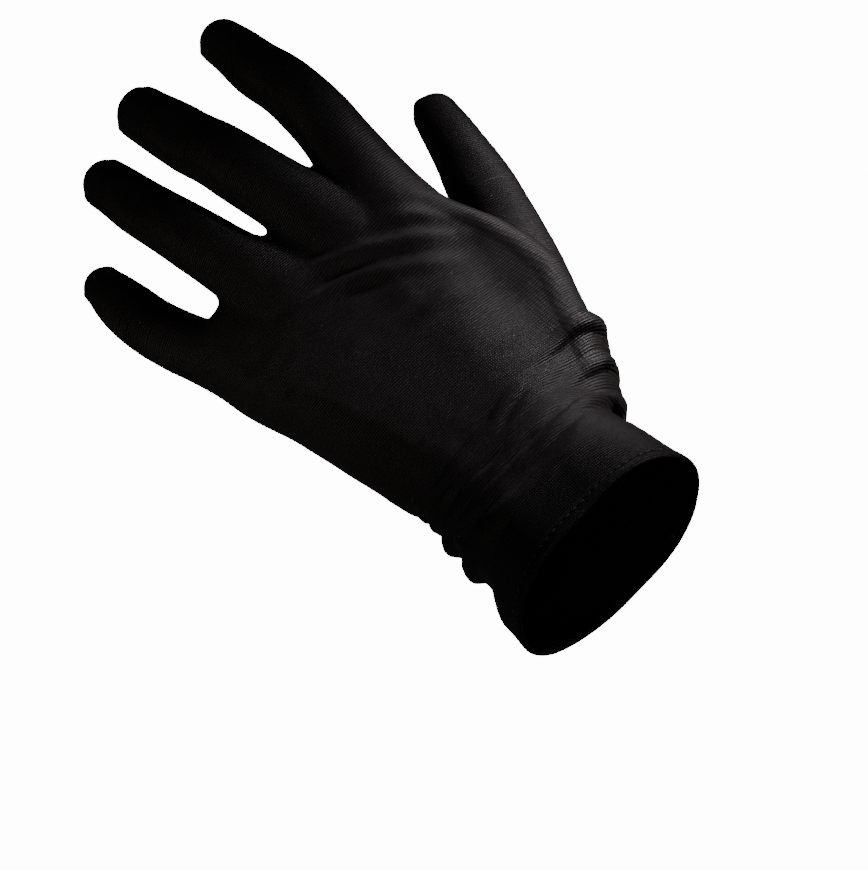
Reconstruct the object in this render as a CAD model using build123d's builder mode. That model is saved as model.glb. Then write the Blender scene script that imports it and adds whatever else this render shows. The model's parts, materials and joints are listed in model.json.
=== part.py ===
from build123d import *

import os
from dataclasses import dataclass
from math import cos, radians, sin, tan

# A left-hand wrist-length stretch satin glove, in the shape it takes when it is worn.
#
# The origin is the centre of the cuff's opening. +Y runs towards the fingertips, +X towards
# the thumb side and +Z out of the back of the hand. The hand is bent back at the wrist, so
# the cuff rises from the wrist towards its opening.
#
# The cloth is cut as a trank (back and palm), fourchettes between the fingers and a set-in
# thumb. Each cut piece is divided where the hand bends, so that every stretch between two
# joints is a rigid body. The cloth that folds in a bend is a crease of its own.

# ---------------------------------------------------------------- driving dimensions, mm
cloth = 0.5  # thickness of one layer of satin
hem_depth = 4.2  # how far the edge is turned in
stitch_pitch = 2.6
stitch_length = 1.7
stitch_width = 0.4

cuff_length = 40.5  # from the wrist's bend to the opening
cuff_rise = 21.5  # degrees that the cuff climbs from the palm's plane
cuff_swing = -4.4  # degrees that it leans towards the little finger side
opening_width = 61.5
opening_height = 48.5
wrist_width = 56.0
wrist_height = 40.0
gathers_share = 0.6  # the part of the cuff's length that gathers at the bend
gathers_reach = 12.0  # how far the gathers run onto the hand

heel_width = 64.0  # the palm a third of the way to the knuckles
heel_height = 38.0
palm_width = 75.0  # the palm two thirds of the way to the knuckles
palm_height = 31.0
knuckle_height = 25.0
web_height = 18.0
web_reach = 25.0  # from the knuckle line to the webs between the fingers
web_slant = 5.5  # degrees between the knuckle line and the line of the webs
web_inset = 4.0  # how much narrower the hand is at the webs than at the knuckles

seam_share = 0.62  # a fourchette's seams, as a share of the stall's radius
seam_run = 2.5  # how far the fourchettes run behind the webs
root_seam_share = 0.45  # where the thumb's seam lies along its root
root_seam_margin = 2.0  # how far the seam stands outside the thumb's root
joint_gap = 0.6  # cut between two stretches of cloth at a joint
crease_gap = 0.15  # between a crease and the cloth beside it
swing_clearance = 1.0  # degrees kept free beyond each limit
pivot_drop = 0.2  # how far a joint's axis lies below the stall's centre, of its radius
section_flat = 0.3  # half of the straight stretch at each side of a hand section

# ------------------------------------------------------------------- joint travel, degrees
wrist_travel = (-25.0, 60.0)
knuckle_travel = (-8.0, 55.0)
mid_travel = (-6.0, 70.0)
end_travel = (-4.0, 48.0)
thumb_base_travel = (-8.0, 35.0)
thumb_end_travel = (-8.0, 60.0)


@dataclass
class Digit:
    """One finger: where its knuckle is, which way its bones point and how thick it is."""

    knuckle: tuple  # from the middle of the wrist
    spreads: tuple  # degrees from +Y towards the thumb, for each bone
    rises: tuple  # degrees that each bone climbs from the palm's plane
    bones: tuple  # length of each bone, the last one to the very tip
    radii: tuple  # radius at each joint and at the tip
    roll: float = 0.0  # degrees that its back is turned towards the thumb side


fingers = {
    "index": Digit(
        knuckle=(26.0, 81.5, 0.5),
        spreads=(6.0, -6.0, -6.0),
        rises=(-0.5, -5.5, -14.5),
        bones=(44.0, 26.5, 24.5),
        radii=(12.0, 9.5, 8.7, 7.4),
    ),
    "middle": Digit(
        knuckle=(11.5, 85.0, 2.5),
        spreads=(-12.5, -13.8, -13.8),
        rises=(-1.0, -11.0, -14.0),
        bones=(45.5, 25.5, 25.0),
        radii=(11.7, 10.2, 9.6, 8.7),
    ),
    "ring": Digit(
        knuckle=(-13.5, 83.5, 2.5),
        spreads=(-13.8, -13.3, -13.3),
        rises=(-2.0, -11.0, -16.0),
        bones=(40.5, 24.5, 22.5),
        radii=(11.8, 9.5, 8.6, 8.1),
    ),
    "little": Digit(
        knuckle=(-36.0, 75.0, -4.0),
        spreads=(-22.0, -12.0, -12.0),
        rises=(-1.5, -9.5, -17.0),
        bones=(34.0, 18.5, 19.5),
        radii=(10.5, 9.1, 8.4, 6.5),
    ),
}
thumb = Digit(
    knuckle=(42.5, 47.0, -22.0),
    spreads=(18.3, 11.6),
    rises=(0.5, 0.5),
    bones=(35.0, 29.5),
    radii=(12.4, 9.9, 7.2),
    roll=55.0,
)
thumb_root = (21.3, 7.7, -11.0)  # the thumb's first joint, from the middle of the wrist
thumb_root_radius = 18.0

# ---------------------------------------------------------------------- derived placement
up = Vector(0, 0, 1)
ahead = Vector(0, 1, 0)
thumbwards = Vector(1, 0, 0)
names = list(fingers)


def heading(spread, rise):
    """A unit vector from a spread towards the thumb and a rise, in degrees."""
    a, e = radians(spread), radians(rise)
    return Vector(sin(a) * cos(e), cos(a) * cos(e), sin(e))


cuff_direction = heading(cuff_swing, -cuff_rise)  # from the opening towards the wrist
wrist = cuff_direction * cuff_length


@dataclass
class Bone:
    """A straight stretch between two joints, with its back's direction."""

    start: Vector
    end: Vector
    start_radius: float
    end_radius: float
    back: Vector

    @property
    def length(self):
        return (self.end - self.start).length

    @property
    def direction(self):
        return (self.end - self.start).normalized()

    @property
    def side(self):
        """The plane through the bone in which it bends: x along it, y out of its back."""
        return Plane(self.start, x_dir=self.direction, z_dir=self.direction.cross(self.back))

    @property
    def coronal(self):
        """The plane through the bone that parts its back from its palm side, facing the back."""
        return Plane(self.start, x_dir=self.direction, z_dir=self.back)


def bones_of(digit):
    """The bones of a digit, from its knuckle to its tip."""
    bones = []
    start = wrist + Vector(*digit.knuckle)
    for i, length in enumerate(digit.bones):
        along = heading(digit.spreads[i], digit.rises[i])
        lateral = along.cross(up).normalized().rotate(Axis((0, 0, 0), along), digit.roll)
        end = start + along * length
        bones.append(Bone(start, end, digit.radii[i], digit.radii[i + 1], lateral.cross(along)))
        start = end
    return bones


finger_bones = {name: bones_of(digit) for name, digit in fingers.items()}
thumb_bones = bones_of(thumb)
thumb_metacarpal = Bone(
    wrist + Vector(*thumb_root),
    thumb_bones[0].start,
    thumb_root_radius,
    thumb_bones[0].start_radius,
    thumb_bones[0].back,
)

# The knuckle line runs from the little finger's knuckle to the index finger's.
index_knuckle = finger_bones["index"][0].start
little_knuckle = finger_bones["little"][0].start
knuckle_line = (index_knuckle - little_knuckle).normalized()
knuckle_centre = (index_knuckle + little_knuckle) * 0.5
knuckle_forward = up.cross(Vector(knuckle_line.X, knuckle_line.Y, 0)).normalized()
knuckle_radii = fingers["index"].radii[0] + fingers["little"].radii[0]
knuckle_width = (index_knuckle - little_knuckle).length + knuckle_radii
web_forward = knuckle_forward.rotate(Axis.Z, web_slant)


# ----------------------------------------------------------------------- joints and relief
@dataclass
class Joint:
    """A hinge across a stretch of cloth. frame: x along the cloth, y out of its back."""

    frame: Plane
    reach: float  # how far its relief is cut from the axis
    half_width: float
    travel: tuple

    @property
    def divide(self):
        """The plane between the stretches before and after the joint, facing the one after."""
        return Plane(self.frame.origin, z_dir=self.frame.x_dir)


def joint_between(before, after, travel):
    """The hinge between two bones, square to the middle of their bend."""
    along = (before.direction + after.direction).normalized()
    lateral = along.cross(before.back).normalized()
    drop = lateral.cross(along) * (pivot_drop * before.end_radius)
    frame = Plane(after.start - drop, x_dir=along, z_dir=lateral)
    return Joint(frame, 2 * before.end_radius, before.end_radius + 2, travel)


finger_joints = {
    name: [joint_between(bones[0], bones[1], mid_travel), joint_between(bones[1], bones[2], end_travel)]
    for name, bones in finger_bones.items()
}
thumb_joints = [
    joint_between(thumb_metacarpal, thumb_bones[0], thumb_base_travel),
    joint_between(thumb_bones[0], thumb_bones[1], thumb_end_travel),
]
knuckle_joint = Joint(
    Plane(knuckle_centre - up * (pivot_drop * knuckle_height / 2), x_dir=knuckle_forward, z_dir=knuckle_line),
    knuckle_height,
    knuckle_width / 2 + 4,
    knuckle_travel,
)


def relief(joint):
    """What is cut away across a joint so that the cloth on both sides can swing."""
    waist = joint_gap / 2
    lower, upper = joint.travel
    palm_spread = waist + joint.reach * tan(radians(upper / 2 + swing_clearance))
    back_spread = waist + joint.reach * tan(radians(-lower / 2 + swing_clearance))
    with BuildPart() as cut:
        with BuildSketch(joint.frame):
            with BuildLine():
                Polyline(
                    (-waist, 0),
                    (-palm_spread, -joint.reach),
                    (palm_spread, -joint.reach),
                    (waist, 0),
                    (back_spread, joint.reach),
                    (-back_spread, joint.reach),
                    close=True,
                )
            make_face()
        extrude(amount=joint.half_width, both=True)
    return cut.part


def fold(joint):
    """The palm side of a joint's relief, where the crease's cloth lies."""
    waist = joint_gap / 2 - crease_gap
    spread = waist + joint.reach * tan(radians(joint.travel[1] / 2 + swing_clearance))
    with BuildPart() as region:
        with BuildSketch(joint.frame):
            with BuildLine():
                Polyline(
                    (-waist, -crease_gap),
                    (-spread, -joint.reach),
                    (spread, -joint.reach),
                    (waist, -crease_gap),
                    close=True,
                )
            make_face()
        extrude(amount=joint.half_width, both=True)
    return region.part


def past(joint):
    """The block just beyond a joint, as wide as the joint's relief."""
    divide = Plane(joint.frame.origin, x_dir=joint.frame.z_dir, z_dir=joint.frame.x_dir)
    with BuildPart() as block:
        with BuildSketch(divide):
            Rectangle(2 * joint.half_width, 2 * joint.reach)
        extrude(amount=joint.reach)
    return block.part


# ------------------------------------------------------------------------ tubes of cloth
def round_cone(bone, margin):
    """A solid over a bone with a ball at its start, its surface moved out by a margin."""
    start, end = bone.start_radius + margin, bone.end_radius + margin
    with BuildPart() as solid:
        with BuildSketch(bone.side):
            with BuildLine():
                Line((-start, 0), (bone.length, 0))
                Line((bone.length, 0), (bone.length, end))
                Line((bone.length, end), (0, start))
                CenterArc((0, 0), start, 90, 90)
            make_face()
        revolve(axis=Axis(bone.start, bone.direction))
    return solid.part


def stall_tube(bone, closed):
    """The hollow tube of cloth over a bone, running back past its joint for the mitre."""
    begin, end = bone.start_radius, bone.end_radius
    mitre = -begin / 3
    straight = bone.length - (end if closed else 0)
    with BuildPart() as tube:
        with BuildSketch(bone.side):
            with BuildLine():
                Line((mitre, begin - cloth), (mitre, begin))
                Line((mitre, begin), (straight, end))
                if closed:
                    CenterArc((straight, 0), end, 0, 90)
                    Line((bone.length, 0), (bone.length - cloth, 0))
                    CenterArc((straight, 0), end - cloth, 0, 90)
                else:
                    Line((straight, end), (straight, end - cloth))
                Line((straight, end - cloth), (mitre, begin - cloth))
            make_face()
        revolve(axis=Axis(bone.start, bone.direction))
    return tube.part


def section_plane(centre, normal):
    """A plane square to the hand, with its x direction towards the thumb side."""
    return Plane(centre, x_dir=thumbwards - normal * normal.X, z_dir=normal)


def hand_solid(inset):
    """The hand from the hem to the webs as one solid, inset from the cloth's outer face."""
    middle_width = (opening_width + wrist_width) / 2
    middle_height = (opening_height + wrist_height) / 2
    to_knuckles = knuckle_centre - wrist
    wrist_bend = (cuff_direction + ahead).normalized()
    sections = [
        (cuff_direction * hem_depth, cuff_direction, opening_width, opening_height),
        (wrist * (1 - gathers_share), cuff_direction, middle_width, middle_height),
        (wrist, wrist_bend, wrist_width, wrist_height),
        (wrist + to_knuckles / 3, ahead, heel_width, heel_height),
        (wrist + to_knuckles * 2 / 3, ahead, palm_width, palm_height),
        (knuckle_centre, knuckle_forward, knuckle_width, knuckle_height),
        (
            knuckle_centre + knuckle_forward * (web_reach - inset),
            web_forward,
            knuckle_width - web_inset,
            web_height,
        ),
    ]
    cones = [round_cone(finger_bones[name][0], -inset) for name in names]
    cones.append(round_cone(thumb_metacarpal, -inset))
    with BuildPart() as solid:
        for centre, normal, width, height in sections:
            with BuildSketch(section_plane(centre, normal)):
                inner_height = height - 2 * inset
                RectangleRounded(width - 2 * inset, inner_height, inner_height / 2 - section_flat)
        loft(ruled=True)
        for cone in cones:
            add(cone)
    return solid.part


def hand_shell():
    """The cloth of the cuff, the hand, the finger bases and the thumb's root in one."""
    outside = hand_solid(0)
    inside = hand_solid(cloth)
    with BuildPart() as shell:
        add(outside)
        add(inside, mode=Mode.SUBTRACT)
    return shell.part


# ------------------------------------------------------------------------- cutting pieces
def write(name, piece):
    """Labels a finished piece and writes it as one STEP file."""
    piece.part.label = name
    export_step(piece.part, f"parts/{name}.step")


def trim(source, keep=(), remove=(), above=()):
    """The part of source inside each region to keep, outside those to remove, above each plane."""
    with BuildPart() as piece:
        add(source)
        for region in keep:
            add(region, mode=Mode.INTERSECT)
        for region in remove:
            add(region, mode=Mode.SUBTRACT)
        for plane in above:
            split(bisect_by=plane, keep=Keep.TOP)
    return piece


def flipped(plane):
    """The same plane, facing the other way."""
    return Plane(plane.origin, x_dir=plane.x_dir, z_dir=-plane.z_dir)


def web_region(thumb_side, little_side):
    """The upright wedge between two fingers' seams, from behind their web to past their tips."""
    edges = []
    for name, hand_side in ((thumb_side, -1), (little_side, 1)):
        bones = finger_bones[name]
        offset = hand_side * seam_share * bones[1].start_radius
        courses = [heading(spread, 0) for spread in fingers[name].spreads]
        seam = [bone.start + course.cross(up) * offset for bone, course in zip(bones, courses)]
        along = (seam[1] - seam[0]).normalized()
        web_line = knuckle_centre + knuckle_forward * (web_reach - cloth - seam_run)
        seam[0] = seam[0] + along * ((web_line - seam[0]).dot(web_forward) / along.dot(web_forward))
        beyond = courses[2] * (2 * bones[2].length)
        edges.append([(point.X, point.Y) for point in seam + [seam[2] + beyond]])
    with BuildPart() as region:
        with BuildSketch(Plane.XY.offset(knuckle_centre.Z)):
            with BuildLine():
                Polyline(*edges[0], *reversed(edges[1]), close=True)
            make_face()
        extrude(amount=cuff_length + knuckle_height, both=True)
    return region.part


webs = {pair: web_region(*pair) for pair in zip(names, names[1:])}


def sides_of(name):
    """The regions that a finger's fourchettes are cut from, by the side they are on."""
    sides = {}
    for (thumb_side, little_side), region in webs.items():
        if name == thumb_side:
            sides["little_side"] = region
        if name == little_side:
            sides["thumb_side"] = region
    return sides


def make_stall(name, bone, joints, sides, closed=False):
    """The back, palm and fourchette cloth over one bone, between its joints."""
    ends = [joints[0].divide] + [flipped(joint.divide) for joint in joints[1:]]
    tube = trim(stall_tube(bone, closed), remove=[relief(joint) for joint in joints], above=ends).part
    regions = sides.values()
    write(f"{name}_back", trim(tube, remove=regions, above=[bone.coronal]))
    write(f"{name}_palm", trim(tube, remove=regions, above=[flipped(bone.coronal)]))
    for side, region in sides.items():
        write(f"{name}_fourchette_{side}", trim(tube, keep=[region]))


def make_crease(name, joint, before, after):
    """The cloth that folds on the palm side of a joint, between two bones."""
    first = trim(stall_tube(before, False), above=[flipped(joint.divide)]).part
    second = trim(stall_tube(after, False), above=[joint.divide]).part
    region = fold(joint)
    with BuildPart() as crease:
        add(first)
        add(second)
        add(region, mode=Mode.INTERSECT)
    write(name, crease)


def make_fingers():
    """Everything beyond the middle joints of the four fingers."""
    for name, (base, mid, end) in finger_bones.items():
        mid_joint, end_joint = finger_joints[name]
        sides = sides_of(name)
        make_stall(f"{name}_mid", mid, [mid_joint, end_joint], sides)
        make_stall(f"{name}_end", end, [end_joint], sides, closed=True)
        make_crease(f"{name}_mid_crease", mid_joint, base, mid)
        make_crease(f"{name}_end_crease", end_joint, mid, end)


def make_thumb():
    """The set-in thumb beyond its root."""
    base, end = thumb_bones
    base_joint, end_joint = thumb_joints
    make_stall("thumb_base", base, [base_joint, end_joint], {})
    make_stall("thumb_end", end, [end_joint], {}, closed=True)
    make_crease("thumb_root_crease", base_joint, thumb_metacarpal, base)
    make_crease("thumb_end_crease", end_joint, base, end)


def make_hand():
    """The cuff, the gathers, the hand and the finger bases, cut from one shell."""
    shell = hand_shell()
    cuff_edge = Plane(wrist * (1 - gathers_share), z_dir=cuff_direction)
    hand_edge = Plane(wrist + ahead * gathers_reach, z_dir=ahead)
    knuckle_edge = knuckle_joint.divide
    cuff_middle = Plane((0, 0, 0), x_dir=thumbwards, z_dir=thumbwards.cross(cuff_direction))
    hand_middle = Plane(wrist, x_dir=thumbwards, z_dir=up)
    base_joint = thumb_joints[0]
    root_seam = Plane(
        thumb_metacarpal.start + thumb_metacarpal.direction * (root_seam_share * thumb_metacarpal.length),
        z_dir=thumb_metacarpal.direction,
    )
    root_region = trim(round_cone(thumb_metacarpal, root_seam_margin), above=[root_seam]).part
    mid_joints = [joints[0] for joints in finger_joints.values()]

    cuff = trim(shell, above=[flipped(cuff_edge)]).part
    gathers = trim(shell, above=[cuff_edge, flipped(hand_edge)]).part
    hand_reliefs = [relief(knuckle_joint), relief(base_joint)]
    hand = trim(shell, remove=hand_reliefs, above=[hand_edge, flipped(knuckle_edge)]).part
    base_reliefs = [relief(knuckle_joint)] + [relief(joint) for joint in mid_joints]
    base_reliefs += [past(joint) for joint in mid_joints]
    bases = trim(shell, remove=base_reliefs, above=[knuckle_edge]).part

    write("cuff_back", trim(cuff, above=[cuff_middle]))
    write("cuff_palm", trim(cuff, above=[flipped(cuff_middle)]))
    write("gathers_back", trim(gathers, above=[hand_middle]))
    write("gathers_palm", trim(gathers, above=[flipped(hand_middle)]))
    write("thumb_root", trim(hand, keep=[root_region], above=[flipped(base_joint.divide)]))
    write("hand_back", trim(hand, remove=[root_region], above=[hand_middle]))
    write("hand_palm", trim(hand, remove=[root_region], above=[flipped(hand_middle)]))
    write("knuckles_back", trim(bases, remove=webs.values(), above=[hand_middle]))
    write("knuckles_palm", trim(bases, remove=webs.values(), above=[flipped(hand_middle)]))
    for (thumb_side, little_side), region in webs.items():
        write(f"fourchette_{thumb_side}_{little_side}", trim(bases, keep=[region]))
    write("palm_crease", trim(shell, keep=[fold(knuckle_joint)]))


def make_hem():
    """The turned-in edge of the cuff and the row of stitches that holds it."""
    with BuildPart() as band:
        for inset, mode in ((0, Mode.ADD), (2 * cloth, Mode.SUBTRACT)):
            with BuildSketch(section_plane(Vector(0, 0, 0), cuff_direction)):
                inner_height = opening_height - 2 * inset
                RectangleRounded(opening_width - 2 * inset, inner_height, inner_height / 2 - section_flat)
            extrude(amount=hem_depth, mode=mode)
    write("hem_band", band)

    seam_depth = cuff_direction * (hem_depth - 2 * stitch_width)
    with BuildSketch(section_plane(seam_depth, cuff_direction)) as seam:
        RectangleRounded(opening_width, opening_height, opening_height / 2 - section_flat)
    run = seam.sketch.face().outer_wire()
    count = round(run.length / stitch_pitch)
    places = [run.location_at(i / count) for i in range(count)]
    with BuildPart() as stitches:
        with Locations(*places):
            Box(stitch_width, stitch_width, stitch_length)
    write("hem_stitches", stitches)


if __name__ == "__main__":
    os.makedirs("parts", exist_ok=True)
    make_hand()
    make_hem()
    make_fingers()
    make_thumb()
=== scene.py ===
import json
from math import cos, pi, radians, sin

import bpy
import numpy as np
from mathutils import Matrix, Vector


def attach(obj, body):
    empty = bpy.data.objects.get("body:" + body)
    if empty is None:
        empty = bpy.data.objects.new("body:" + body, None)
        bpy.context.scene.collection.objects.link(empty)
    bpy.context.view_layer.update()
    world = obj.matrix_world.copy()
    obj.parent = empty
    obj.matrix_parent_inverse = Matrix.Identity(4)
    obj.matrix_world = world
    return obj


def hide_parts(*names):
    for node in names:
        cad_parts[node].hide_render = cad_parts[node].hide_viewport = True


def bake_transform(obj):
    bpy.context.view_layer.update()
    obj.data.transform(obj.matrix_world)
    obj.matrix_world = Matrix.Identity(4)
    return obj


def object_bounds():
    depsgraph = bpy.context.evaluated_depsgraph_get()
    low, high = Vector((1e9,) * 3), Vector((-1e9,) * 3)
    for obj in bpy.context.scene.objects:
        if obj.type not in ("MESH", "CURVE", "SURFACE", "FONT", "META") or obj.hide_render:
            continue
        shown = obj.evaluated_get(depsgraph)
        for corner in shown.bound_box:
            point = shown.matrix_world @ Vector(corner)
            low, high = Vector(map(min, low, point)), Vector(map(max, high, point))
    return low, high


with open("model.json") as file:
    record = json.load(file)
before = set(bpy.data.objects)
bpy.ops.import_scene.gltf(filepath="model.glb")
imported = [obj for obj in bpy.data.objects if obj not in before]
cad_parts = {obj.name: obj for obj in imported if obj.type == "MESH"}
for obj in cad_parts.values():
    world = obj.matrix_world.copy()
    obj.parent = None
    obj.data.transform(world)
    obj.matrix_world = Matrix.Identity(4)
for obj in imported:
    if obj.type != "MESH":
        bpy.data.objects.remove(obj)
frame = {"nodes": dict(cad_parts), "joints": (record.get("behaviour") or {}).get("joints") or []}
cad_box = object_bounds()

import openvdb
from bpy.props import FloatProperty, FloatVectorProperty, PointerProperty
from mathutils import Euler, Vector

bl_info = {
    "name": "Black Satin Glove",
    "version": (1, 0, 0),
    "blender": (4, 5, 0),
    "location": "3D View > Sidebar > Glove",
    "description": "Makes a worn wrist-length satin glove around its packed model",
    "category": "Object",
}

# Shapes are worked out in millimetres and written to meshes in metres.
MM = 0.001
UP = np.array([0.0, 0.0, 1.0])
AHEAD = np.array([0.0, 1.0, 0.0])
THUMBWARDS = np.array([1.0, 0.0, 0.0])
FINGERS = ("index", "middle", "ring", "little")
SIDES = {"thumb_side": 1.0, "little_side": -1.0}
BACK_AND_PALM = (("back", 1.0), ("palm", -1.0))
FOURCHETTES = {
    "index": ("little_side",),
    "middle": ("thumb_side", "little_side"),
    "ring": ("thumb_side", "little_side"),
    "little": ("thumb_side",),
}
WEBS = tuple(f"web_{one}_{other}" for one, other in zip(FINGERS, FINGERS[1:]))
BONE_STEPS = 6  # straight runs in the curve of one bone
EVERYWHERE = 1e3  # mm; a field's value where its cut doesn't reach
DIGIT_REACH = 14.0  # mm; farther out than this, a digit's distance isn't worked out
JOINT_DROP = 0.2  # how far a joint's axis lies below the digit's middle, of its radius
THUMB_TIP = (12.6, 0.5, 33.0)  # the thumb's last bone: spread and rise in degrees, length in mm
WEB_TURN = 5.5  # degrees; how much more the web line turns than the knuckle line
WEB_NARROWING = 5.0  # mm; how much narrower the hand is at the webs than at the knuckles

# Seams, in mm or as a share of the bone they cross.
SLEEVE_SEAM = 34.0  # from the wrist to the seam between sleeve and hand
FORK_DEPTH = 3.2  # how far the fourchettes' forks reach back from the web line
STALL_SEAM = {"index": 0.73, "middle": 0.73, "ring": 0.73, "little": 0.76}
MIDDLE_SEAM = 0.5
THUMB_SEAM = 2.6  # how far from the thumb's own skin its seam runs

# How far two rounded forms melt into each other where they meet, in mm.
END_ROUND = 7.0
WEB_ROUND = 6.0
THUMB_ROUND = 4.0
FINGER_ROUND = 5.0
STALL_ROUND = 1.2

HEM_STEPS = 300  # sections round the cuff
CUFF_RADIUS = 27.0  # mm; an average one, for the map of the hem's cloth

# How far each side of a joint a piece's span reaches.
WRIST_BEND = (17.0, 19.0)  # mm, before and after
KNUCKLE_BEND = 13.0  # mm
FINGER_BEND = 0.36  # of the middle bone's length
THUMB_BASE_BEND = (1.0, 20.0)  # mm; both beyond the joint
THUMB_END_BEND = (-10.0, 10.0)  # mm


# ------------------------------------------------------------------------------ settings
def length(name, description, default):
    """A setting in metres: one number, or as many as its default has."""
    if isinstance(default, tuple):
        return FloatVectorProperty(
            name=name, description=description, size=len(default), default=default, unit="LENGTH"
        )
    return FloatProperty(name=name, description=description, default=default, unit="LENGTH")


def angle(name, description, degrees):
    return FloatProperty(name=name, description=description, default=radians(degrees), unit="ROTATION")


def colour(name, description, *default):
    return FloatVectorProperty(
        name=name, description=description, subtype="COLOR", size=4, min=0.0, max=1.0, default=(*default, 1.0)
    )


def power(name, description, watts):
    return FloatProperty(name=name, description=description, default=watts, min=0.0, unit="POWER")


def first_bone(name, *default):
    description = f"Length of the {name} finger's first bone in mm, its spread and its rise in degrees"
    return FloatVectorProperty(name=f"{name.title()} Base", description=description, size=3, default=default)


def radii(name, *default):
    return length(f"{name} Radii", "Radius at each joint and at the tip", default)


class GloveSizes(bpy.types.PropertyGroup):
    """Sizes of the glove's cloth and of the hand that fills it."""

    cloth: length("Cloth", "Thickness of one layer of satin", 0.0005)
    mesh_step: length("Mesh Step", "Edge length of the cloth's mesh", 0.00075)
    hem_depth: length("Hem Depth", "How far the cuff's edge is turned in", 0.0042)
    opening: length("Opening", "Width and height of the cuff's opening", (0.0615, 0.0485))
    wrist: length("Wrist", "Width and height at the wrist", (0.056, 0.040))
    heel: length("Heel", "Width and height a third of the way to the knuckles", (0.064, 0.038))
    palm: length("Palm", "Width and height two thirds of the way to the knuckles", (0.075, 0.031))
    knuckle_height: length("Knuckle Height", "Height of the hand at its knuckles", 0.025)
    web_height: length("Web Height", "Height of the hand at the webs", 0.016)
    web_reach: length("Web Reach", "From the knuckle line to the webs", 0.0240)
    crown: length("Crown", "How much lower the hand's edges lie than its middle", 0.0035)
    index_bases: first_bone("index", 44.0, 6.0, -0.5)
    index_radii: radii("Index", 0.0120, 0.0099, 0.0091, 0.0078)
    middle_bases: first_bone("middle", 45.5, -12.5, -1.0)
    middle_radii: radii("Middle", 0.0117, 0.0105, 0.0100, 0.0091)
    ring_bases: first_bone("ring", 40.5, -13.8, -2.0)
    ring_radii: radii("Ring", 0.0118, 0.0099, 0.0091, 0.0085)
    little_bases: first_bone("little", 34.0, -22.0, -1.5)
    little_radii: radii("Little", 0.0105, 0.0094, 0.0088, 0.0069)
    thumb_root: length(
        "Thumb Root", "The thumb's first joint, from the middle of the wrist", (0.0213, 0.0077, -0.011)
    )
    thumb_radii: radii("Thumb", 0.0180, 0.0124, 0.0099, 0.0068)
    seam_share: FloatProperty(
        name="Seam Share", description="How far out a fourchette's seams lie, as a share of the radius",
        default=0.76,
    )
    stitch_pitch: length("Stitch Pitch", "From one hem stitch to the next", 0.0026)
    stitch_length: length("Stitch Length", "Length of one hem stitch", 0.0017)
    stitch_width: length("Stitch Width", "Thickness of the hem's thread", 0.0004)
    stitch_inset: length("Stitch Inset", "From the cuff's edge to the row of stitches", 0.0031)


class GloveFinish(bpy.types.PropertyGroup):
    """Colours and surface of the satin and the thread."""

    satin: colour("Satin", "Colour of the satin", 0.0072, 0.0056, 0.0050)
    lint: colour("Lint", "Colour of the loose fibres on the satin", 0.16, 0.15, 0.145)
    thread: colour("Thread", "Colour of the hem's thread", 0.028, 0.027, 0.027)
    roughness: FloatProperty(
        name="Roughness", description="Roughness of the satin", default=0.50, min=0.0, max=1.0
    )
    course_pitch: length("Course Pitch", "From one course of the knit to the next", 0.00075)
    wale_pitch: length("Wale Pitch", "From one wale of the knit to the next", 0.00060)


class GloveStage(bpy.types.PropertyGroup):
    """The floor, the lights and the camera."""

    floor: colour("Floor", "Colour of the floor", 0.86, 0.86, 0.86)
    floor_glow: FloatProperty(
        name="Floor Glow", description="How brightly the floor shows to the camera", default=14.0
    )
    floor_drop: length("Floor Drop", "How far the floor lies below the glove, clear of bent fingers", 0.16)
    key_power: power("Key Power", "Power of the light on the thumb's side", 0.058)
    fill_power: power("Fill Power", "Power of the light above the cuff", 0.027)
    rim_power: power("Rim Power", "Power of the light on the little finger's side", 0.007)
    world_strength: FloatProperty(
        name="World Strength", description="Strength of the light from all round", default=0.014
    )
    eye: length("Eye", "Where the camera stands, from the cuff's opening", (-0.0106, -0.0488, 0.3596))
    tilt: angle("Tilt", "How far the camera leans from looking straight down", 16.4)
    pan: angle("Pan", "How far the camera leans sideways", 0.4)
    roll: angle("Roll", "How far the camera is turned about its line of sight", -43.3)
    lens: FloatProperty(
        name="Lens", description="Focal length of the camera", default=56.82, unit="CAMERA"
    )


def sizes():
    return bpy.context.scene.glove_sizes


def finish():
    return bpy.context.scene.glove_finish


def millimetres(values):
    """A length or several, from metres."""
    return np.array(values) / MM


# --------------------------------------------------------------------- distance functions
def unit(v):
    return v / np.linalg.norm(v)


def heading(spread, rise):
    """A unit vector from a spread towards the thumb and a rise, in degrees."""
    a, e = radians(spread), radians(rise)
    return np.array([sin(a) * cos(e), cos(a) * cos(e), sin(e)])


def smooth_min(a, b, reach):
    h = np.clip(0.5 + 0.5 * (b - a) / reach, 0.0, 1.0)
    return b + (a - b) * h - reach * h * (1.0 - h)


def smooth_max(a, b, reach):
    return -smooth_min(-a, -b, reach)


def step_between(x, low, high):
    """0 below low, 1 above high and smooth in between."""
    t = np.clip((x - low) / (high - low), 0.0, 1.0)
    return t * t * (3.0 - 2.0 * t)


def bell(x, width):
    """1 at 0, falling to nothing a couple of widths away."""
    return np.exp(-((x / width) ** 2))


def ripple(p, wavelength, seed):
    """Smooth waves in all directions, from about -1 to 1."""
    turns = np.random.default_rng(seed)
    total = np.zeros(len(p))
    count = 6
    for _ in range(count):
        direction = unit(turns.normal(size=3))
        rate = 2 * pi / wavelength * turns.uniform(0.7, 1.3)
        total += np.sin(p @ direction * rate + turns.uniform(0, 2 * pi))
    return total / count * 1.8


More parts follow.
